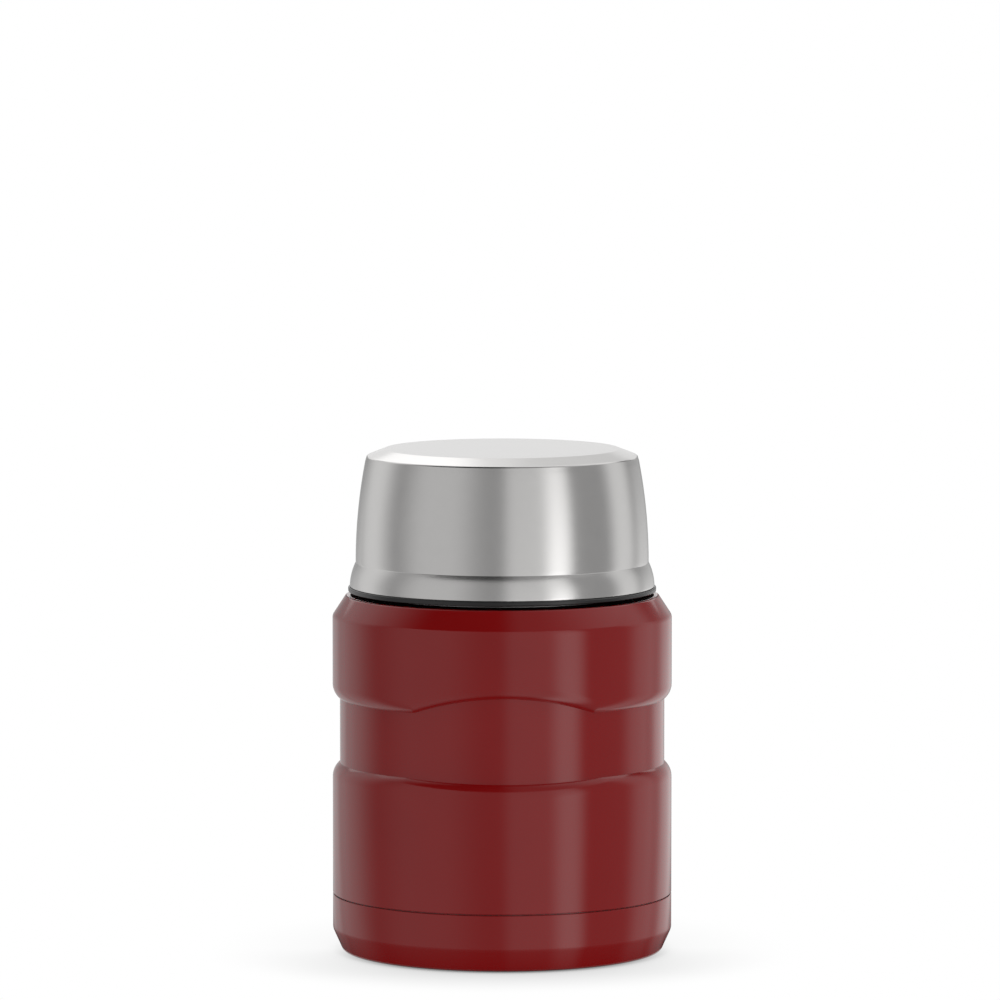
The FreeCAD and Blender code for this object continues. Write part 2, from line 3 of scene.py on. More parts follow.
import bmesh
import bpy
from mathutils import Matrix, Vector


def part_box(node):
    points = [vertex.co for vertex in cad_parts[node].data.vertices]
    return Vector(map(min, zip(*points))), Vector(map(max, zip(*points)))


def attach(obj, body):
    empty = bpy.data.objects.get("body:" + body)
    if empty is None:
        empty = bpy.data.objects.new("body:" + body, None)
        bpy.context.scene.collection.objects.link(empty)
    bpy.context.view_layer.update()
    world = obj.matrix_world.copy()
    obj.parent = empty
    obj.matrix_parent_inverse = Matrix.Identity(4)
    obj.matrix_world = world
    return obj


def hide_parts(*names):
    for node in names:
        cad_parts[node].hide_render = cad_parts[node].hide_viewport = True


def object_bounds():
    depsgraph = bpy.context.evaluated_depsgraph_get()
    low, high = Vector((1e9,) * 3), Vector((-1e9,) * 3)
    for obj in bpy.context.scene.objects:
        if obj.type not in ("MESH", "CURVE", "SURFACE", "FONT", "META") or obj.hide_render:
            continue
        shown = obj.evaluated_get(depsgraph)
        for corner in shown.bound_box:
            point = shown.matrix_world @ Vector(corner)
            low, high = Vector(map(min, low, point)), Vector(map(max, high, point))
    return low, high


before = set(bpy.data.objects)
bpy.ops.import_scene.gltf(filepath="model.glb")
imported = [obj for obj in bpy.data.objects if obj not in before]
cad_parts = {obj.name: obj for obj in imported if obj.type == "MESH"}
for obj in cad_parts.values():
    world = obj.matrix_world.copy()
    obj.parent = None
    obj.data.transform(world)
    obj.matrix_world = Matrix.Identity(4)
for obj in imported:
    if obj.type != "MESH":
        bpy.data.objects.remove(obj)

bl_info = {
    "name": "Insulated Food Jar",
    "version": (1, 0, 0),
    "blender": (4, 5, 0),
    "location": "View3D > Sidebar > Food Jar",
    "description": "Painted vacuum body, brushed steel cup lid and folding spoon of a food jar",
    "category": "Add Mesh",
}

MM = 0.001
JAR_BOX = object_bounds()
SHELL_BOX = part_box("outer_shell")
CUP_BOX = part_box("base_cup")
LID_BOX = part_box("lid_shell")
NECK_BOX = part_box("threaded_neck")

# The faceted CAD model falls just short of its true radius, so its box is rounded
BODY_RADIUS = round(SHELL_BOX[1][0] / MM, 1) * MM

# Points round each lathed skin
BODY_COLUMNS = 720
CUP_COLUMNS = 360
LID_COLUMNS = 480
SHARP_ANGLE = 25
ALWAYS_SMOOTH = 180
MERGE_WITHIN = 1e-7


class JarSizes(bpy.types.PropertyGroup):
    body_radius: bpy.props.FloatProperty(
        name="Body radius", description="Outside radius of the painted body",
        default=BODY_RADIUS, unit="LENGTH")
    shoulder_height: bpy.props.FloatProperty(
        name="Shoulder height", description="Height of the painted body's top edge",
        default=SHELL_BOX[1][2], unit="LENGTH")
    shoulder_drop: bpy.props.FloatProperty(
        name="Shoulder drop", description="Height of the sloping shoulder",
        default=5.8 * MM, unit="LENGTH")
    shoulder_width: bpy.props.FloatProperty(
        name="Shoulder width", description="Width of the sloping shoulder seen from above",
        default=3.8 * MM, unit="LENGTH")
    waist_depth: bpy.props.FloatProperty(
        name="Waist depth", description="How far the grip band is sunk into the body",
        default=2.04 * MM, unit="LENGTH")
    waist_bottom: bpy.props.FloatProperty(
        name="Waist bottom", description="Height of the grip band's lower corner",
        default=52.95 * MM, unit="LENGTH")
    waist_top: bpy.props.FloatProperty(
        name="Waist top", description="Height of the grip band's upper corner",
        default=71.05 * MM, unit="LENGTH")
    step_round: bpy.props.FloatProperty(
        name="Step round", description="Radius of the rounding into the grip band",
        default=5.0 * MM, unit="LENGTH")
    arch_rise: bpy.props.FloatProperty(
        name="Arch rise", description="Rise of the front panel's arched top",
        default=4.66 * MM, unit="LENGTH")
    arch_radius: bpy.props.FloatProperty(
        name="Arch radius", description="Radius of the front panel's arched top",
        default=67.7 * MM, unit="LENGTH")
    bow_drop: bpy.props.FloatProperty(
        name="Bow drop", description="Sag of the front panel's lower edge",
        default=0.97 * MM, unit="LENGTH")
    bow_radius: bpy.props.FloatProperty(
        name="Bow radius", description="Radius of the front panel's lower edge",
        default=370.0 * MM, unit="LENGTH")
    base_bevel_height: bpy.props.FloatProperty(
        name="Base bevel height", description="Height of the bevel round the base",
        default=6.2 * MM, unit="LENGTH")
    base_bevel_width: bpy.props.FloatProperty(
        name="Base bevel width", description="Width of the bevel round the base",
        default=2.8 * MM, unit="LENGTH")
    steel_wall: bpy.props.FloatProperty(
        name="Steel wall", description="Thickness of the painted steel",
        default=0.5 * MM, unit="LENGTH")
    band_height: bpy.props.FloatProperty(
        name="Band height", description="Height of the lid's flared lower band",
        default=6.75 * MM, unit="LENGTH")
    band_flare: bpy.props.FloatProperty(
        name="Band flare", description="How far the lid's lower band stands out",
        default=1.65 * MM, unit="LENGTH")
    barrel_taper: bpy.props.FloatProperty(
        name="Barrel taper", description="How much narrower the lid is at its top",
        default=2.95 * MM, unit="LENGTH")
    lid_bevel_width: bpy.props.FloatProperty(
        name="Lid bevel width", description="Width of the bevel round the lid's flat top",
        default=5.3 * MM, unit="LENGTH")
    lid_bevel_height: bpy.props.FloatProperty(
        name="Lid bevel height", description="Height of the bevel round the lid's flat top",
        default=2.3 * MM, unit="LENGTH")


class JarColours(bpy.types.PropertyGroup):
    paint: bpy.props.FloatVectorProperty(
        name="Paint", description="Satin paint of the body and base cup",
        subtype="COLOR", size=3, min=0, max=1, default=(0.184, 0.0010, 0.0014))
    lid_steel: bpy.props.FloatVectorProperty(
        name="Lid steel", description="Brushed steel of the cup lid",
        subtype="COLOR", size=3, min=0, max=1, default=(0.75, 0.74, 0.73))
    vessel_steel: bpy.props.FloatVectorProperty(
        name="Vessel steel", description="Bare steel of the neck and the inner vessel",
        subtype="COLOR", size=3, min=0, max=1, default=(0.66, 0.655, 0.65))
    plastic: bpy.props.FloatVectorProperty(
        name="Plastic", description="Black plastic of the stopper and the lid's bowl",
        subtype="COLOR", size=3, min=0, max=1, default=(0.010, 0.010, 0.0105))
    silicone: bpy.props.FloatVectorProperty(
        name="Silicone", description="Sealing ring",
        subtype="COLOR", size=3, min=0, max=1, default=(0.30, 0.30, 0.31))


# Node groups and materials

def new_group(name, inputs, outputs):
    """Empty shader group with float inputs (name, default) and named outputs."""
    group = bpy.data.node_groups.new(name, "ShaderNodeTree")
    for label, default in inputs:
        socket = group.interface.new_socket(label, in_out="INPUT", socket_type="NodeSocketFloat")
        socket.default_value = default
    for label in outputs:
        group.interface.new_socket(label, in_out="OUTPUT", socket_type="NodeSocketFloat")
    entry = group.nodes.new("NodeGroupInput")
    leave = group.nodes.new("NodeGroupOutput")
    return group, entry, leave


def feed(tree, value, socket):
    """Set a socket to a number, or link another socket to it."""
    if isinstance(value, (int, float)):
        socket.default_value = value
    else:
        tree.links.new(value, socket)


def math_node(tree, operation, first, second=None, clamp=False):
    node = tree.nodes.new("ShaderNodeMath")
    node.operation = operation
    node.use_clamp = clamp
    feed(tree, first, node.inputs[0])
    if second is not None:
        feed(tree, second, node.inputs[1])
    return node.outputs[0]


def noise(tree, vector, scale, detail, rough):
    node = tree.nodes.new("ShaderNodeTexNoise")
    node.inputs["Detail"].default_value = detail
    node.inputs["Roughness"].default_value = rough
    tree.links.new(vector, node.inputs["Vector"])
    feed(tree, scale, node.inputs["Scale"])
    return node.outputs["Fac"]


def object_point(tree):
    """Place of the shaded point in its object."""
    return tree.nodes.new("ShaderNodeTexCoord").outputs["Object"]


def round_point(tree):
    """Sideways place, depth and height of the point, and its squared distance from the axis."""
    split = tree.nodes.new("ShaderNodeSeparateXYZ")
    tree.links.new(object_point(tree), split.inputs[0])
    across, depth, height = split.outputs
    squares = math_node(tree, "ADD", math_node(tree, "MULTIPLY", across, across),
                        math_node(tree, "MULTIPLY", depth, depth))
    return across, depth, height, squares


# Keeps the division by the radius finite on the axis
AXIS_GUARD = 1e-9


def turned_grain_group():
    """Fine grooves that run round the axis, as a lathe and a belt leave them."""
    group, entry, leave = new_group(
        "turned_grain",
        [("Grooves", 5000.0), ("Length", 9.0), ("Smear", 260.0)],
        ["Height", "Gloss"])
    across, depth, height, squares = round_point(group)
    radius = math_node(group, "SQRT", math_node(group, "ADD", squares, AXIS_GUARD))
    along = [math_node(group, "MULTIPLY", math_node(group, "DIVIDE", value, radius),
                       entry.outputs["Length"]) for value in (across, depth)]
    fall = math_node(group, "SUBTRACT", height, radius)
    results = []
    for frequency in ("Grooves", "Smear"):
        join = group.nodes.new("ShaderNodeCombineXYZ")
        group.links.new(along[0], join.inputs[0])
        group.links.new(along[1], join.inputs[1])
        group.links.new(math_node(group, "MULTIPLY", fall, entry.outputs[frequency]),
                        join.inputs[2])
        results.append(noise(group, join.outputs[0], 1.0, detail=4.0, rough=0.6))
    group.links.new(results[0], leave.inputs["Height"])
    group.links.new(results[1], leave.inputs["Gloss"])
    return group


def fine_grain_group():
    """Small even pits, as sprayed paint and moulded plastic have, and a broad unevenness."""
    group, entry, leave = new_group(
        "fine_grain", [("Pits", 1800.0), ("Patches", 60.0)], ["Height", "Patches"])
    point = object_point(group)
    pits = noise(group, point, entry.outputs["Pits"], detail=2.0, rough=0.5)
    group.links.new(pits, leave.inputs["Height"])
    patches = noise(group, point, entry.outputs["Patches"], detail=3.0, rough=0.55)
    group.links.new(patches, leave.inputs["Patches"])
    return group


def group_node(tree, name, **values):
    """Node of a shared group, which is made the first time that a material asks for it."""
    makers = {
        "turned_grain": turned_grain_group,
        "fine_grain": fine_grain_group,
        "soft_boxes": soft_boxes_group,
        "flag_windows": flag_windows_group,
        "rear_card": rear_card_group,
    }
    node = tree.nodes.new("ShaderNodeGroup")
    node.node_tree = bpy.data.node_groups.get(name) or makers[name]()
    for label, value in values.items():
        node.inputs[label].default_value = value
    return node


def map_range(tree, value, source, target, interpolation="LINEAR"):
    """Map a value from one (low, high) range onto another and clamp it there."""
    node = tree.nodes.new("ShaderNodeMapRange")
    node.interpolation_type = interpolation
    tree.links.new(value, node.inputs["Value"])
    for label, number in zip(("From Min", "From Max", "To Min", "To Max"), source + target):
        node.inputs[label].default_value = number
    return node.outputs["Result"]


def span(tree, value, low, high):
    """Map a 0 to 1 value onto a range."""
    return map_range(tree, value, (0.0, 1.0), (low, high))


# Share of the noise's range over which a colour varies; noise seldom reaches past it
TINT_SPAN = (0.25, 0.75)


def tint(tree, value, colour, dark, light):
    """A colour that varies between a darker and a lighter share of itself."""
    ramp = tree.nodes.new("ShaderNodeValToRGB")
    tree.links.new(value, ramp.inputs["Fac"])
    low, high = ramp.color_ramp.elements
    low.position, high.position = TINT_SPAN
    low.color = [part * dark for part in colour] + [1]
    high.color = [min(1, part * light) for part in colour] + [1]
    return ramp.outputs["Color"]


GRAIN_DEPTH = 0.02 * MM


def bump(tree, height, strength):
    node = tree.nodes.new("ShaderNodeBump")
    node.inputs["Strength"].default_value = strength
    node.inputs["Distance"].default_value = GRAIN_DEPTH
    tree.links.new(height, node.inputs["Height"])
    return node.outputs["Normal"]


def new_material(name):
    material = bpy.data.materials.new(name)
    material.use_nodes = True
    tree = material.node_tree
    return material, tree, tree.nodes["Principled BSDF"]


# Brushed steel mirrors less at a grazing angle than a polished sheet would
GRAZING_TINT = (0.84, 0.84, 0.84, 1)
# How far a grained finish varies in roughness each way
GRAIN_SPREAD = 0.02
# Dark red of the flat deck round the neck: painted shade for the gap under the lid's ring
DECK_SHADE_RED = (0.020, 0.0006, 0.0008)
FOAM_CREAM = (0.80, 0.79, 0.74)
FOIL_GREY = (0.85, 0.85, 0.85)
SINTER_GREY = (0.12, 0.12, 0.13)


def steel(name, colour, rough, spread, grooves, strength):
    """Steel with grooves round the axis."""
    material, tree, shader = new_material(name)
    shader.inputs["Metallic"].default_value = 1.0
    shader.inputs["Specular Tint"].default_value = GRAZING_TINT
    grain = group_node(tree, "turned_grain", Grooves=grooves)
    tree.links.new(tint(tree, grain.outputs["Gloss"], colour, dark=0.985, light=1.01),
                   shader.inputs["Base Color"])
    tree.links.new(span(tree, grain.outputs["Gloss"], rough - spread, rough + spread),
                   shader.inputs["Roughness"])
    tree.links.new(bump(tree, grain.outputs["Height"], strength), shader.inputs["Normal"])
    return material


def grained(name, colour, rough, pits, strength, metallic=0.0, ior=1.5):
    """Paint, plastic, rubber or foam with an even fine grain."""
    material, tree, shader = new_material(name)
    shader.inputs["Metallic"].default_value = metallic
    shader.inputs["IOR"].default_value = ior
    grain = group_node(tree, "fine_grain", Pits=pits)
    tree.links.new(tint(tree, grain.outputs["Patches"], colour, dark=0.97, light=1.03),
                   shader.inputs["Base Color"])
    gloss = span(tree, grain.outputs["Patches"], rough - GRAIN_SPREAD, rough + GRAIN_SPREAD)
    tree.links.new(gloss, shader.inputs["Roughness"])
    tree.links.new(bump(tree, grain.outputs["Height"], strength), shader.inputs["Normal"])
    return material


def finish(name):
    """The named finish, made the first time that a piece asks for it."""
    found = bpy.data.materials.get(name)
    if found:
        return found
    colours = bpy.context.scene.jar_colours
    if name == "satin_paint":
        return grained(name, colours.paint, rough=0.14, pits=2600.0, strength=0.04, ior=1.55)
    # Dark matte deck round the neck: painted shade under the lid's ring
    if name == "deck_painted_shade":
        return grained(name, DECK_SHADE_RED, rough=0.80, pits=2600.0, strength=0.04, ior=1.2)
    if name == "lid_brushed":
        return steel(name, colours.lid_steel, rough=0.20, spread=0.02, grooves=6500.0,
                     strength=0.30)
    if name == "vessel_satin":
        return steel(name, colours.vessel_steel, rough=0.30, spread=0.04, grooves=3500.0,
                     strength=0.25)
    if name == "spoon_polish":
        return grained(name, colours.vessel_steel, rough=0.16, pits=900.0, strength=0.04,
                       metallic=1.0)
    if name == "moulded_black":
        return grained(name, colours.plastic, rough=0.28, pits=3200.0, strength=0.12)
    if name == "seal_silicone":
        return grained(name, colours.silicone, rough=0.55, pits=1500.0, strength=0.15)
    if name == "insulation_foam":
        return grained(name, FOAM_CREAM, rough=0.85, pits=1200.0, strength=0.90)
    if name == "shield_foil":
        return grained(name, FOIL_GREY, rough=0.22, pits=500.0, strength=0.60, metallic=1.0)
    if name == "getter_sinter":
        return grained(name, SINTER_GREY, rough=0.70, pits=2200.0, strength=0.80, metallic=0.6)
    raise ValueError("no finish is named " + name)


# The CAD pieces that stay as they are, with their finishes
NODE_FINISHES = {
    "vessel_bottom": "vessel_satin",
    "vacuum_plug": "getter_sinter",
    "getter_pellet": "getter_sinter",
    "inner_liner": "vessel_satin",
    "heat_shield": "shield_foil",
    "threaded_neck": "vessel_satin",
    "stopper_cap": "moulded_black",
    "stopper_plug": "moulded_black",
    "stopper_foam": "insulation_foam",
    "stopper_seal": "seal_silicone",
    "lid_liner": "moulded_black",
    "lid_foam": "insulation_foam",
    "spoon_bowl": "spoon_polish",
    "spoon_handle": "spoon_polish",
    "spoon_rivet": "spoon_polish",
}


# Outlines: lists of (radius, height) points

def arc(middle, radius, start, end, steps):
    """Points along an arc; angles in degrees from straight outwards, up positive."""
    points = []
    for step in range(steps + 1):
        angle = math.radians(start + (end - start) * step / steps)
        points.append((middle[0] + radius * math.cos(angle),
                       middle[1] + radius * math.sin(angle)))
    return points


def eased(before, corner, after, radius, steps=8):
    """Corner rounded to a radius between two straight runs."""
    here = Vector(corner)
    back = (Vector(before) - here).normalized()
    on = (Vector(after) - here).normalized()
    half = back.angle(on) / 2
    reach = radius / math.tan(half)
    middle = here + (back + on).normalized() * (radius / math.sin(half))
    first = here + back * reach - middle
    last = here + on * reach - middle
    turn = first.angle_signed(last)
    points = []
    for step in range(steps + 1):
        angle = -turn * step / steps
        points.append((middle.x + first.x * math.cos(angle) - first.y * math.sin(angle),
                       middle.y + first.x * math.sin(angle) + first.y * math.cos(angle)))
    return points


def rounded(corners):
    """Open outline through (radius, height, rounding) corners."""
    points = []
    for index, corner in enumerate(corners):
        if corner[2] and 0 < index < len(corners) - 1:
            points += eased(corners[index - 1][:2], corner[:2], corners[index + 1][:2],
                            corner[2])
        else:
            points.append(tuple(corner[:2]))
    return points


def curved(first, last, radius, steps):
    """Points of the outward-bulging arc between two points, upwards."""
    start = Vector(first)
    chord = Vector(last) - start
    middle = start + chord / 2
    sagitta = math.sqrt(radius ** 2 - (chord.length / 2) ** 2)
    centre = middle + Vector((-chord.y, chord.x)).normalized() * sagitta
    begin = math.degrees(math.atan2(start.y - centre.y, start.x - centre.x))
    end = math.degrees(math.atan2(last[1] - centre.y, last[0] - centre.x))
    return arc(centre, radius, begin, end, steps)


def turned(radius, angle, height):
    """Point at an angle in radians from the front, anticlockwise as seen from above."""
    return radius * math.sin(angle), -radius * math.cos(angle), height


def lathe(name, outline_at, columns):
    """Closed skin swept round the axis; outline_at gives the closed outline at an angle."""
    rows = len(outline_at(0.0))
    vertices = []
    for column in range(columns):
        angle = 2 * math.pi * column / columns
        outline = outline_at(angle)
        if len(outline) != rows:
            raise RuntimeError(name + " has outlines with different numbers of points")
        vertices += [turned(radius, angle, height) for radius, height in outline]
    faces = []
    for column in range(columns):
        follower = (column + 1) % columns
        for row in range(rows):
            onward = (row + 1) % rows
            faces.append((column * rows + row, follower * rows + row,
                          follower * rows + onward, column * rows + onward))
    mesh = bpy.data.meshes.new(name)
    mesh.from_pydata(vertices, [], faces)
    work = bmesh.new()
    work.from_mesh(mesh)
    bmesh.ops.remove_doubles(work, verts=work.verts, dist=MERGE_WITHIN)
    bmesh.ops.recalc_face_normals(work, faces=work.faces)
    work.to_mesh(mesh)
    work.free()
    return place(name, mesh, SHARP_ANGLE)


def place(name, mesh, sharp_angle):
    """Put a mesh in the scene, smooth but for edges sharper than the angle in degrees."""
    for face in mesh.polygons:
        face.use_smooth = True
    mesh.set_sharp_from_angle(angle=math.radians(sharp_angle))
    piece = bpy.data.objects.new(name, mesh)
    bpy.context.scene.collection.objects.link(piece)
    return piece


def install(piece, material, body, node):
    """Give a new piece its finish and body, and let it stand for its CAD node."""
    piece.data.materials.append(finish(material))
    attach(piece, body)
    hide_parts(node)


# Pieces

# The flat deck round the neck gets a dark matte finish in place of the glossy paint: painted
# shade for the gap under the lid's ring. Its faces lie this close to the deck's height
FLAT_WITHIN = 0.02 * MM

# Painted wall: its lower edge over the base cup, its foot inside the cup, its shoulder and rim
SEAM_GAP = 0.3 * MM
SEAM_ROUND = 0.25 * MM
FOOT_GAP = 0.1 * MM
SHOULDER_ROUND = 2.2 * MM
RIM_ROUND = 0.9 * MM
RIM_FALL = 1.2 * MM
NECK_OVERLAP = 0.9 * MM
SEAM_STEPS = 4
BAND_STEPS = 14
INNER_BAND_STEPS = 6
WAIST_SHARES = (0.2, 0.4, 0.6, 0.8)

# Base cup: rest ring, recess and the roundings outside and inside
RING_WIDTH = 5.5 * MM
RECESS = 1.5 * MM
RING_ROUND = 0.8 * MM
REST_ROUND = 1.1 * MM
BEVEL_ROUND = 3.0 * MM
CUP_TOP_ROUND = 0.22 * MM
INNER_BEVEL_ROUND = 2.5 * MM
INNER_REST_ROUND = 0.8 * MM
INNER_RING_ROUND = 0.5 * MM

# Lid shell: lower edge, radii of the band's and the barrel's bulge, roundings of its top
LID_EDGE = 42.65 * MM
EDGE_CURL = 0.3 * MM
EDGE_SOFT = 0.08 * MM
BAND_BULGE = 16 * MM
BARREL_BULGE = 150 * MM
INNER_CLOSER = 0.5 * MM
CROWN_ROUND = 0.8 * MM
CROWN_LEAN = 0.1 * MM
CROWN_RUN = 2 * MM
CROWN_LIFT = 0.3 * MM
DISC_ROUND = 0.7 * MM
LID_BAND_STEPS = 12
BARREL_STEPS = 26
INNER_BARREL_STEPS = 10
INNER_LID_BAND_STEPS = 6
DISC_SHARES = (0.75, 0.5, 0.25, 0)
# Groove over the lid's band: its step, its height, and (share of the step, height) points
GROOVE_STEP = 0.05 * MM
GROOVE_HEIGHT = 0.35 * MM
GROOVE_POINTS = [
    (0.5, 0.06 * MM),
    (-0.5, 0.12 * MM),
    (-0.5, 0.20 * MM),
    (-0.25, 0.28 * MM),
]


def body_outline(sizes, angle):
    """Outline of the painted wall at an angle from the front."""
    radius = sizes.body_radius
    waist = radius - sizes.waist_depth
    wall = sizes.steel_wall
    across = waist * math.sin(angle)
    rise = 0.0
    bow = 0.0
    in_front = math.cos(angle) > 0
    if in_front:
        sag = sizes.arch_radius - math.sqrt(max(0, sizes.arch_radius ** 2 - across ** 2))
        rise = max(0.0, sizes.arch_rise - sag)
        dip = sizes.bow_radius - math.sqrt(sizes.bow_radius ** 2 - across ** 2)
        bow = max(0.0, sizes.bow_drop - dip)
    hub = radius - sizes.step_round
    sweep = math.degrees(math.acos((waist - hub) / sizes.step_round))
    climb = sizes.step_round * math.sin(math.radians(sweep))
    lower = sizes.waist_bottom - climb - bow
    upper = sizes.waist_top + climb + rise
    seam = CUP_BOX[1][2] + SEAM_GAP
    foot = radius - wall - FOOT_GAP
    foot_low = SHELL_BOX[0][2]
    top = sizes.shoulder_height
    deck = NECK_BOX[0][2] + wall
    edge = radius - sizes.shoulder_width
    neck = NECK_BOX[1][0] - NECK_OVERLAP
    outside = [(foot, foot_low), (foot, seam)]
    outside += eased((foot, seam), (radius, seam), (radius, lower), SEAM_ROUND, SEAM_STEPS)
    outside += arc((hub, lower), sizes.step_round, 0, sweep, BAND_STEPS)
    outside += [(waist, (lower + climb) * (1 - share) + (upper - climb) * share)
                for share in WAIST_SHARES]
    outside += arc((hub, upper), sizes.step_round, -sweep, 0, BAND_STEPS)
    outside += rounded([
        (radius, upper, 0),
        (radius, top - sizes.shoulder_drop, SHOULDER_ROUND),
        (edge, top, RIM_ROUND),
        (edge - RIM_FALL, deck, 0),
    ])[1:]
    outside += [(neck, deck)]
    inner_hub = sizes.step_round - wall
    inner_climb = math.degrees(math.acos((waist - wall - hub) / inner_hub))
    inner_rise = inner_hub * math.sin(math.radians(inner_climb))
    inside = [(neck, deck - wall), (edge - wall, deck - wall),
              (radius - wall, top - sizes.shoulder_drop - wall / 3)]
    inside += arc((hub, upper), inner_hub, 0, -inner_climb, INNER_BAND_STEPS)
    inside += [(waist - wall, lower + inner_rise + wall)]
    inside += arc((hub, lower), inner_hub, inner_climb, 0, INNER_BAND_STEPS)
    inside += [(radius - wall, seam + wall), (foot - wall, seam + wall),
               (foot - wall, foot_low)]
    return outside + inside


def cup_outline(sizes):
    """Outline of the base cup from its middle, round the bevel and back."""
    radius = sizes.body_radius
    wall = sizes.steel_wall
    bevel = sizes.base_bevel_height
    top = CUP_BOX[1][2]
    rest = radius - sizes.base_bevel_width
    ring = rest - RING_WIDTH
    outside = rounded([
        (0, RECESS, 0),
        (ring - RECESS, RECESS, RING_ROUND),
        (ring, 0, RING_ROUND),
        (rest, 0, REST_ROUND),
        (radius, bevel, BEVEL_ROUND),
        (radius, top, CUP_TOP_ROUND),
        (radius - wall, top, 0),
    ])
    inside = rounded([
        (radius - wall, top - wall, 0),
        (radius - wall, bevel + wall / 4, INNER_BEVEL_ROUND),
        (rest - wall / 2, wall, INNER_REST_ROUND),
        (ring, wall, INNER_RING_ROUND),
        (ring - RECESS, RECESS + wall, INNER_RING_ROUND),
        (0, RECESS + wall, 0),
    ])
    return outside + inside


def lid_outline(sizes):
    """Outline of the lid's steel shell from its lower edge to its middle and back."""
    low = LID_BOX[0][2]
    top = LID_BOX[1][2]
    wall = sizes.steel_wall
    barrel = LID_EDGE - sizes.band_flare
    band_top = low + sizes.band_height
    bevel_low = top - sizes.lid_bevel_height
    crown = barrel - sizes.barrel_taper
    disc = crown - sizes.lid_bevel_width
    outside = [(LID_EDGE - EDGE_CURL, low), (LID_EDGE - EDGE_SOFT, low + EDGE_SOFT)]
    outside += curved((LID_EDGE, low + EDGE_CURL), (barrel + GROOVE_STEP, band_top),
                      BAND_BULGE, LID_BAND_STEPS)
    outside += [(barrel + GROOVE_STEP * share, band_top + rise)
                for share, rise in GROOVE_POINTS]
    outside += curved((barrel, band_top + GROOVE_HEIGHT), (crown, bevel_low),
                      BARREL_BULGE, BARREL_STEPS)[:-1]
    outside += eased((crown + CROWN_LEAN, bevel_low - CROWN_RUN),
                     (crown - CROWN_LEAN, bevel_low + CROWN_LIFT), (disc, top), CROWN_ROUND)
    outside += eased((crown, bevel_low), (disc, top), (0, top), DISC_ROUND)
    outside += [(disc * share, top) for share in DISC_SHARES]
    inside = [(0, top - wall), (disc, top - wall), (crown - wall, bevel_low - wall / 2)]
    inside += curved((barrel - wall, band_top + wall / 2), (crown - wall, bevel_low - wall),
                     BARREL_BULGE - INNER_CLOSER, INNER_BARREL_STEPS)[::-1]
    inside += curved((LID_EDGE - wall, low), (barrel - wall, band_top),
                     BAND_BULGE - INNER_CLOSER, INNER_LID_BAND_STEPS)[::-1]
    return outside + inside


class JAR_OT_body(bpy.types.Operator):
    """Painted outer shell with its grip band and arched front panel"""
    bl_idname = "jar.add_body"
    bl_label = "Add Painted Body"

    def execute(self, context):
        sizes = context.scene.jar_sizes
        piece = lathe("painted_body", lambda angle: body_outline(sizes, angle), BODY_COLUMNS)
        install(piece, "satin_paint", "jar", "outer_shell")
        # The deck's faces get the dark finish: painted shade under the lid's ring
        piece.data.materials.append(finish("deck_painted_shade"))
        deck = NECK_BOX[0][2] + sizes.steel_wall
        for face in piece.data.polygons:
            if abs(face.center.z - deck) < FLAT_WITHIN:
                face.material_index = 1
        return {"FINISHED"}


class JAR_OT_base_cup(bpy.types.Operator):
    """Painted base cup with its bevel, rest ring and recess"""
    bl_idname = "jar.add_base_cup"
    bl_label = "Add Base Cup"

    def execute(self, context):
        sizes = context.scene.jar_sizes
        piece = lathe("painted_base_cup", lambda angle: cup_outline(sizes), CUP_COLUMNS)
        install(piece, "satin_paint", "jar", "base_cup")
        return {"FINISHED"}


class JAR_OT_lid(bpy.types.Operator):
    """Brushed steel shell of the cup lid"""
    bl_idname = "jar.add_lid"
    bl_label = "Add Lid Shell"

    def execute(self, context):
        sizes = context.scene.jar_sizes
        piece = lathe("brushed_lid", lambda angle: lid_outline(sizes), LID_COLUMNS)
        install(piece, "lid_brushed", "lid", "lid_shell")
        return {"FINISHED"}


class JAR_OT_inner_pieces(bpy.types.Operator):
    """Finishes of the stopper, the neck, the inner vessel and the other kept pieces"""
    bl_idname = "jar.finish_inner_pieces"
    bl_label = "Finish Inner Pieces"

    def execute(self, context):
        for node, material in NODE_FINISHES.items():
            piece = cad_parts[node]
            for slot in piece.material_slots:
                slot.material = finish(material)
        return {"FINISHED"}


# Stage: floor, light tent, world and camera

# Soft boxes behind the cloth: azimuth from the front, half width and soft edge in degrees,
# and brightness above the cloth's own level low down and high up
SOFT_BOXES = [
    (-50, 10, 32, 0.24, 0.24),
    (-120, 5, 30, 0.42, 0.42),
    (27, 20, 10, 0.34, 0.30),
    (42, 2, 13, 0.82, 0.32),
    (105, 5, 17, 0.46, 0.38),
    (142, 8, 18, 0.66, -0.25),
    (-156, 10, 10, 0.30, -0.15),
]
# Parts of the overhead flag that let light through: azimuths at which each starts and is
# full, and its brightness
FLAG_WINDOWS = [
    (-62, -112, 0.65),
    (-6, 18, 0.24),
    (28, 100, 0.52),
]
# The light tent is a round wall of cloth that is low behind the jar, so that the lid's top
# mirrors the white background; lengths in metres, angles in degrees each side of the front
TENT_RADIUS = 0.30
TENT_HEIGHT = 0.30
REAR_HEIGHT = 0.166
UPPER_SPREAD = 138
TENT_GAP = 13
CLOTH_STEPS = 180
TENT_LEVEL = 0.32
BOX_HEIGHTS = (0.04, 0.24)
# Cloth on the floor, from under the bevel outwards, with its shade next to the jar
MAT_LIFT = 0.0002
MAT_RADII = (0.0452, 0.075)
MAT_SHADE = 0.15
# Dark flag over the front
FLAG_HEIGHT = 0.36
FLAG_SPREAD = 110
FLAG_LEVEL = 0.02
# Card high behind the jar: its brightness at the left, middle and right, and where it changes
CARD_LEVELS = (1.45, 0.95, 0.78)
CARD_LEFT = (-0.072, -0.024)
CARD_RIGHT = (0.0, 0.06)
CARD_HALF = 0.22
CARD_HEIGHTS = (0.255, 0.70)
# Fill light on the surfaces, and how much more of it comes from the right
FILL_LEVEL = 0.90
FILL_LEAN = 0.25
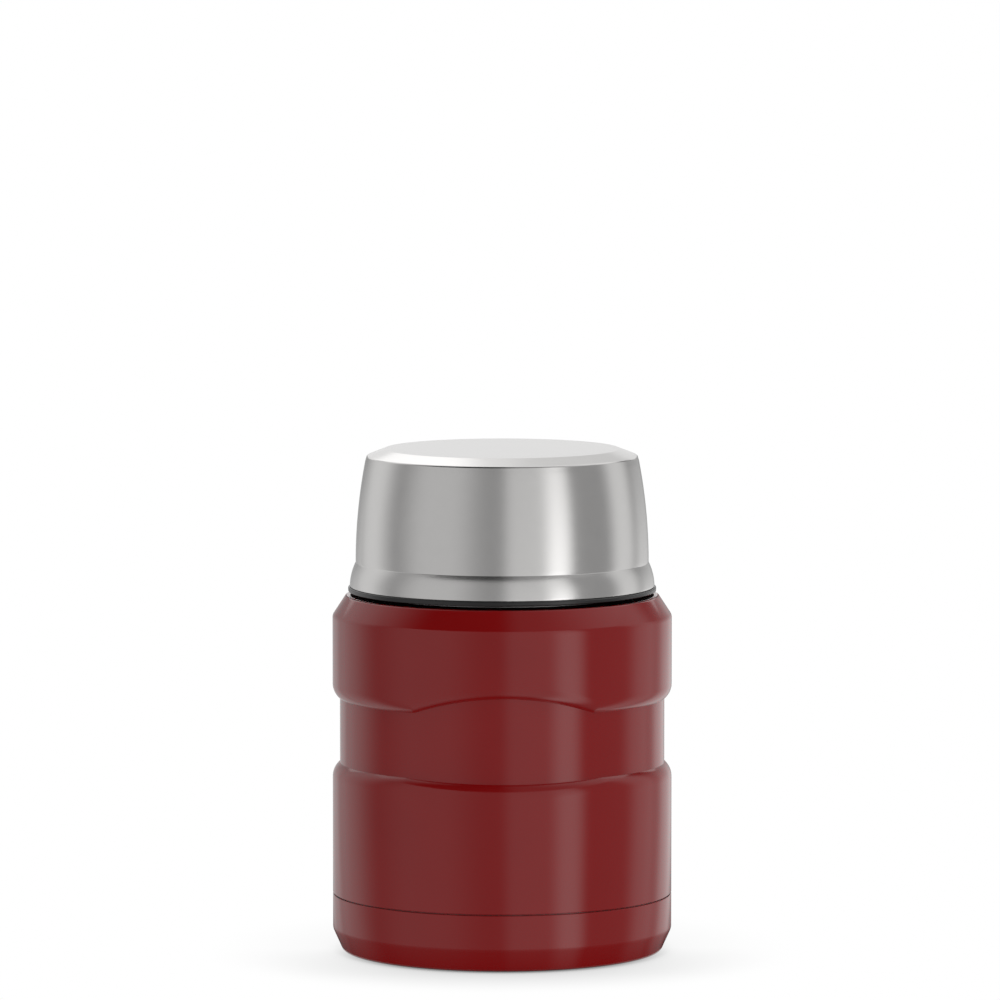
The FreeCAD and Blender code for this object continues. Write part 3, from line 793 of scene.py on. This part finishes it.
# Contact shadow: reach, brightness by how open the floor is, and strength behind the jar's front
CONTACT_REACH = 0.040
CONTACT_SAMPLES = 24
CONTACT_RAMP = [(0.30, 0.12), (0.60, 0.74), (0.97, 1.0)]
SIDE_SHADE = 0.2
FLOOR_GREY = (0.8, 0.8, 0.8, 1)
FLOOR_HALF = 3.0
FLOOR_DROP = 0.02 * MM
WHITE = (1, 1, 1, 1)
# Camera: metres, degrees from the front and from level, and millimetres for the lens
CAMERA_AZIMUTH = -0.66
CAMERA_DISTANCE = 2.1864
CAMERA_HEIGHT = 0.32795
CAMERA_PITCH = 5.265
CAMERA_YAW = 0.0158
CAMERA_LENS = 282.65
CAMERA_SENSOR = 36
CAMERA_CLIP = 50


def seen_directly(tree):
    """1 for rays that show the background: camera, glossy and transmission rays."""
    path = tree.nodes.new("ShaderNodeLightPath")
    total = math_node(tree, "ADD", path.outputs["Is Camera Ray"],
                      path.outputs["Is Glossy Ray"])
    return math_node(tree, "ADD", total, path.outputs["Is Transmission Ray"], clamp=True)


def floor_material():
    """White floor that keeps a soft contact shadow."""
    material = bpy.data.materials.new("white_floor")
    material.use_nodes = True
    tree = material.node_tree
    tree.nodes.clear()
    output = tree.nodes.new("ShaderNodeOutputMaterial")
    mix = tree.nodes.new("ShaderNodeMixShader")
    plain = tree.nodes.new("ShaderNodeBsdfDiffuse")
    plain.inputs["Color"].default_value = FLOOR_GREY
    glow = tree.nodes.new("ShaderNodeEmission")
    shade = tree.nodes.new("ShaderNodeAmbientOcclusion")
    shade.samples = CONTACT_SAMPLES
    shade.inputs["Distance"].default_value = CONTACT_REACH
    ramp = tree.nodes.new("ShaderNodeValToRGB")
    steps = ramp.color_ramp.elements
    steps.new(CONTACT_RAMP[1][0])
    for step, (openness, level) in zip(steps, CONTACT_RAMP):
        step.position = openness
        step.color = (level, level, level, 1)
    tree.links.new(shade.outputs["AO"], ramp.inputs["Fac"])
    split = tree.nodes.new("ShaderNodeSeparateXYZ")
    tree.links.new(object_point(tree), split.inputs[0])
    share = map_range(tree, split.outputs[1], (-BODY_RADIUS, 0.0), (1.0, SIDE_SHADE))
    lighten = tree.nodes.new("ShaderNodeMix")
    lighten.data_type = "RGBA"
    tree.links.new(share, lighten.inputs["Factor"])
    lighten.inputs["A"].default_value = WHITE
    tree.links.new(ramp.outputs["Color"], lighten.inputs["B"])
    tree.links.new(lighten.outputs["Result"], glow.inputs["Color"])
    tree.links.new(seen_directly(tree), mix.inputs[0])
    tree.links.new(plain.outputs[0], mix.inputs[1])
    tree.links.new(glow.outputs[0], mix.inputs[2])
    tree.links.new(mix.outputs[0], output.inputs["Surface"])
    return material


def cloth_point(group):
    """Height, distance from the axis, sideways place and azimuth of a point on the cloth.
    The azimuth is the one at which a ray that the jar mirrors there would reach the wall."""
    across, depth, height, squares = round_point(group)
    reach = math_node(group, "SQRT", squares)
    turn = math_node(group, "ARCTAN2", across, math_node(group, "MULTIPLY", depth, -1.0))
    bend = math_node(group, "SUBTRACT", 2.0, math_node(group, "DIVIDE", BODY_RADIUS, reach))
    spread = math.degrees(2.0 - BODY_RADIUS / TENT_RADIUS)
    azimuth = math_node(group, "DIVIDE", math_node(group, "MULTIPLY", turn, spread), bend)
    return height, reach, across, azimuth


def soft_boxes_group():
    """Brightness of the cloth in the tent's wall and on the floor."""
    group, _, leave = new_group("soft_boxes", [], ["Level", "Side"])
    height, reach, across, azimuth = cloth_point(group)
    level = TENT_LEVEL
    for middle, half, soft, low, high in SOFT_BOXES:
        away = math_node(group, "ABSOLUTE", math_node(group, "SUBTRACT", azimuth, middle))
        share = map_range(group, away, (half, half + soft), (1.0, 0.0), "SMOOTHSTEP")
        amount = map_range(group, height, BOX_HEIGHTS, (low, high))
        level = math_node(group, "ADD", math_node(group, "MULTIPLY", share, amount), level)
    fade = map_range(group, reach, MAT_RADII, (MAT_SHADE, 1.0))
    group.links.new(math_node(group, "MULTIPLY", level, fade), leave.inputs["Level"])
    group.links.new(across, leave.inputs["Side"])
    return group


def flag_windows_group():
    """Brightness of the dark flag over the front, with the light that passes its ends."""
    group, _, leave = new_group("flag_windows", [], ["Level", "Side"])
    _, _, across, azimuth = cloth_point(group)
    level = FLAG_LEVEL
    for start, full, amount in FLAG_WINDOWS:
        outer = (start, full) if start < full else (full, start)
        ends = (0.0, amount) if start < full else (amount, 0.0)
        level = math_node(group, "ADD", map_range(group, azimuth, outer, ends, "SMOOTHSTEP"),
                          level)
    group.links.new(level, leave.inputs["Level"])
    group.links.new(across, leave.inputs["Side"])
    return group


def rear_card_group():
    """Brightness of the card behind the jar, which the lid's bevel mirrors."""
    group, _, leave = new_group("rear_card", [], ["Level", "Side"])
    _, _, across, _ = cloth_point(group)
    left, middle, right = CARD_LEVELS
    level = math_node(group, "ADD",
                      map_range(group, across, CARD_LEFT, (left - middle, 0.0), "SMOOTHSTEP"),
                      map_range(group, across, CARD_RIGHT, (middle, right), "SMOOTHSTEP"))
    group.links.new(level, leave.inputs["Level"])
    group.links.new(across, leave.inputs["Side"])
    return group


def cloth_material(name, pattern):
    """Glowing cloth: plain fill light for the surfaces, its pattern for the reflections."""
    material = bpy.data.materials.new(name)
    material.use_nodes = True
    material.cycles.emission_sampling = "NONE"
    tree = material.node_tree
    tree.nodes.clear()
    output = tree.nodes.new("ShaderNodeOutputMaterial")
    glow = tree.nodes.new("ShaderNodeEmission")
    cloth = group_node(tree, pattern)
    lean = math_node(tree, "MULTIPLY", cloth.outputs["Side"], FILL_LEAN / TENT_RADIUS)
    fill = math_node(tree, "ADD", lean, FILL_LEVEL)
    path = tree.nodes.new("ShaderNodeLightPath")
    choice = tree.nodes.new("ShaderNodeMix")
    tree.links.new(path.outputs["Is Glossy Ray"], choice.inputs["Factor"])
    tree.links.new(fill, choice.inputs["A"])
    tree.links.new(cloth.outputs["Level"], choice.inputs["B"])
    tree.links.new(choice.outputs["Result"], glow.inputs["Color"])
    tree.links.new(glow.outputs[0], output.inputs["Surface"])
    return material


def stage_cloth(name, profile, half_turn, material):
    """Cloth swept round the jar up to an angle each side of the front."""
    vertices = []
    for step in range(CLOTH_STEPS + 1):
        angle = math.radians(half_turn * (2 * step / CLOTH_STEPS - 1))
        vertices += [turned(radius, angle, height) for radius, height in profile]
    rows = len(profile)
    faces = []
    for step in range(CLOTH_STEPS):
        for row in range(rows - 1):
            corner = step * rows + row
            faces.append((corner, corner + rows, corner + rows + 1, corner + 1))
    hang_cloth(name, vertices, faces, material)


def hang_cloth(name, vertices, faces, material):
    """Cloth that lights the jar and shows in its reflections only."""
    mesh = bpy.data.meshes.new(name)
    mesh.from_pydata(vertices, [], faces)
    cloth = place(name, mesh, ALWAYS_SMOOTH)
    cloth.visible_camera = False
    cloth.visible_shadow = False
    cloth.visible_transmission = False
    cloth.data.materials.append(material)


def light_tent():
    """Wall, floor mat, front flag and rear card round the jar."""
    cloth = cloth_material("tent_cloth", "soft_boxes")
    low_wall = [(TENT_RADIUS, MAT_LIFT), (TENT_RADIUS, REAR_HEIGHT)]
    stage_cloth("tent_wall", low_wall, 180 - TENT_GAP, cloth)
    high_wall = [(TENT_RADIUS, REAR_HEIGHT), (TENT_RADIUS, TENT_HEIGHT)]
    stage_cloth("tent_upper_wall", high_wall, UPPER_SPREAD, cloth)
    mat = [(MAT_RADII[0], MAT_LIFT), (TENT_RADIUS, MAT_LIFT)]
    stage_cloth("floor_mat", mat, 180, cloth)
    flag = [(TENT_RADIUS, TENT_HEIGHT), (TENT_RADIUS / 2, FLAG_HEIGHT), (MM, FLAG_HEIGHT)]
    stage_cloth("front_flag", flag, FLAG_SPREAD, cloth_material("flag_cloth", "flag_windows"))
    low, high = CARD_HEIGHTS
    card = [(side * CARD_HALF, TENT_RADIUS, height) for side, height in
            ((-1, low), (1, low), (1, high), (-1, high))]
    hang_cloth("rear_card", card, [(0, 1, 2, 3)], cloth_material("card_cloth", "rear_card"))


def white_floor():
    low = JAR_BOX[0][2] - FLOOR_DROP
    corners = [(side * FLOOR_HALF, end * FLOOR_HALF, low)
               for side, end in ((-1, -1), (1, -1), (1, 1), (-1, 1))]
    mesh = bpy.data.meshes.new("floor")
    mesh.from_pydata(corners, [], [(0, 1, 2, 3)])
    floor = bpy.data.objects.new("floor", mesh)
    bpy.context.scene.collection.objects.link(floor)
    floor.data.materials.append(floor_material())


def studio_world():
    """Plain white world: the fill's level on surfaces, full white where it is seen."""
    world = bpy.data.worlds.new("studio")
    world.use_nodes = True
    tree = world.node_tree
    backdrop = tree.nodes["Background"]
    backdrop.inputs["Color"].default_value = WHITE
    strength = span(tree, seen_directly(tree), FILL_LEVEL, 1.0)
    tree.links.new(strength, backdrop.inputs["Strength"])
    bpy.context.scene.world = world


def photo_camera():
    lens = bpy.data.cameras.new("camera")
    lens.lens = CAMERA_LENS
    lens.sensor_width = CAMERA_SENSOR
    lens.clip_end = CAMERA_CLIP
    camera = bpy.data.objects.new("camera", lens)
    turn = math.radians(CAMERA_AZIMUTH)
    camera.location = turned(CAMERA_DISTANCE, turn, CAMERA_HEIGHT)
    camera.rotation_euler = (math.radians(90 - CAMERA_PITCH), 0,
                             turn + math.radians(CAMERA_YAW))
    bpy.context.scene.collection.objects.link(camera)
    bpy.context.scene.camera = camera


class JAR_OT_stage(bpy.types.Operator):
    """White floor, light tent, plain world light and the camera"""
    bl_idname = "jar.add_stage"
    bl_label = "Add Stage"

    def execute(self, context):
        white_floor()
        light_tent()
        studio_world()
        photo_camera()
        context.scene.view_settings.view_transform = "Standard"
        return {"FINISHED"}


class JAR_PT_panel(bpy.types.Panel):
    """Buttons, sizes and colours of the food jar"""
    bl_idname = "JAR_PT_panel"
    bl_label = "Food Jar"
    bl_space_type = "VIEW_3D"
    bl_region_type = "UI"
    bl_category = "Food Jar"

    def draw(self, context):
        column = self.layout.column(align=True)
        for operator in OPERATORS:
            column.operator(operator.bl_idname)
        for name in JarSizes.__annotations__:
            self.layout.prop(context.scene.jar_sizes, name)
        for name in JarColours.__annotations__:
            self.layout.prop(context.scene.jar_colours, name)


OPERATORS = (JAR_OT_body, JAR_OT_base_cup, JAR_OT_lid, JAR_OT_inner_pieces, JAR_OT_stage)
CLASSES = (JarSizes, JarColours) + OPERATORS + (JAR_PT_panel,)


def register():
    for item in CLASSES:
        bpy.utils.register_class(item)
    bpy.types.Scene.jar_sizes = bpy.props.PointerProperty(type=JarSizes)
    bpy.types.Scene.jar_colours = bpy.props.PointerProperty(type=JarColours)


def unregister():
    del bpy.types.Scene.jar_colours
    del bpy.types.Scene.jar_sizes
    for item in reversed(CLASSES):
        bpy.utils.unregister_class(item)


def main():
    register()
    bpy.ops.jar.add_body()
    bpy.ops.jar.add_base_cup()
    bpy.ops.jar.add_lid()
    bpy.ops.jar.finish_inner_pieces()
    bpy.ops.jar.add_stage()


if __name__ == "__main__":
    main()
